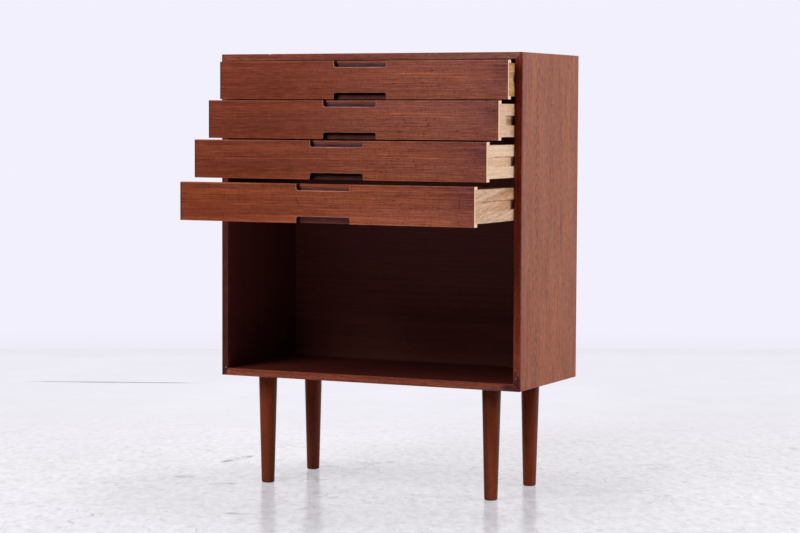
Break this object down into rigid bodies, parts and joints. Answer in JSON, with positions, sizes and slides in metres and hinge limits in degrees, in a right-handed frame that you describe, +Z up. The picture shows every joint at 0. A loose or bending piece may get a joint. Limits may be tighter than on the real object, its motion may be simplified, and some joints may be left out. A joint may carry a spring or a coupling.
{
  "type": "chest of drawers",
  "caption": "Narrow upright wooden chest: shallow drawers on side runners above an open compartment, finger pulls in the drawer edges, round tapered legs.",
  "frame": {"origin": "on the floor, midway across the width and midway between the case's back edge and the front of the drawer that stands furthest open", "axes": "+Z up, +X to the right of someone facing the drawers, -Y the way the drawers open"},
  "size_m": [0.7, 0.5236, 0.932],
  "materials": {
    "teak_veneer": "oiled teak veneer, fine grain, satin",
    "teak_face": "oiled teak veneer with straight level grain, satin",
    "teak_solid": "solid teak strips, oiled, satin",
    "teak_leg": "turned solid teak, oiled, satin",
    "back_board": "brown veneered plywood, matt",
    "pale_wood": "bare beech, fine pores, matt",
    "plywood": "birch plywood, matt",
    "steel": "zinc plated steel, dull"
  },
  "bodies": {
    "case": {"top_panel": "teak_veneer", "bottom_panel": "teak_veneer", "left_side_panel": "teak_veneer", "right_side_panel": "teak_veneer", "back_panel": "back_board", "top_lipping": "teak_solid", "bottom_lipping": "teak_solid", "left_lipping": "teak_solid", "right_lipping": "teak_solid", "top_left_spline": "plywood", "top_right_spline": "plywood", "bottom_left_spline": "plywood", "bottom_right_spline": "plywood", "runner_1_left": "pale_wood", "runner_1_right": "pale_wood", "runner_2_left": "pale_wood", "runner_2_right": "pale_wood", "runner_3_left": "pale_wood", "runner_3_right": "pale_wood", "runner_4_left": "pale_wood", "runner_4_right": "pale_wood", "leg_front_left": "teak_leg", "leg_front_right": "teak_leg", "leg_rear_left": "teak_leg", "leg_rear_right": "teak_leg", "leg_plate_front_left": "steel", "leg_plate_front_right": "steel", "leg_plate_rear_left": "steel", "leg_plate_rear_right": "steel", "leg_bolt_front_left": "steel", "leg_bolt_front_right": "steel", "leg_bolt_rear_left": "steel", "leg_bolt_rear_right": "steel"},
    "drawer_1": {"drawer_1_face": "teak_face", "drawer_1_front": "pale_wood", "drawer_1_left_side": "pale_wood", "drawer_1_right_side": "pale_wood", "drawer_1_back": "pale_wood", "drawer_1_bottom": "plywood"},
    "drawer_2": {"drawer_2_face": "teak_face", "drawer_2_front": "pale_wood", "drawer_2_left_side": "pale_wood", "drawer_2_right_side": "pale_wood", "drawer_2_back": "pale_wood", "drawer_2_bottom": "plywood"},
    "drawer_3": {"drawer_3_face": "teak_face", "drawer_3_front": "pale_wood", "drawer_3_left_side": "pale_wood", "drawer_3_right_side": "pale_wood", "drawer_3_back": "pale_wood", "drawer_3_bottom": "plywood"},
    "drawer_4": {"drawer_4_face": "teak_face", "drawer_4_front": "pale_wood", "drawer_4_left_side": "pale_wood", "drawer_4_right_side": "pale_wood", "drawer_4_back": "pale_wood", "drawer_4_bottom": "plywood"}
  },
  "joints": [
    {"name": "drawer_1_slide", "type": "slide", "parent": "case", "child": "drawer_1", "axis": [0, -1, 0], "range_m": [-0.0363, 0.1837]},
    {"name": "drawer_2_slide", "type": "slide", "parent": "case", "child": "drawer_2", "axis": [0, -1, 0], "range_m": [-0.0847, 0.1353]},
    {"name": "drawer_3_slide", "type": "slide", "parent": "case", "child": "drawer_3", "axis": [0, -1, 0], "range_m": [-0.1441, 0.0759]},
    {"name": "drawer_4_slide", "type": "slide", "parent": "case", "child": "drawer_4", "axis": [0, -1, 0], "range_m": [-0.2035, 0.0165]}
  ]
}
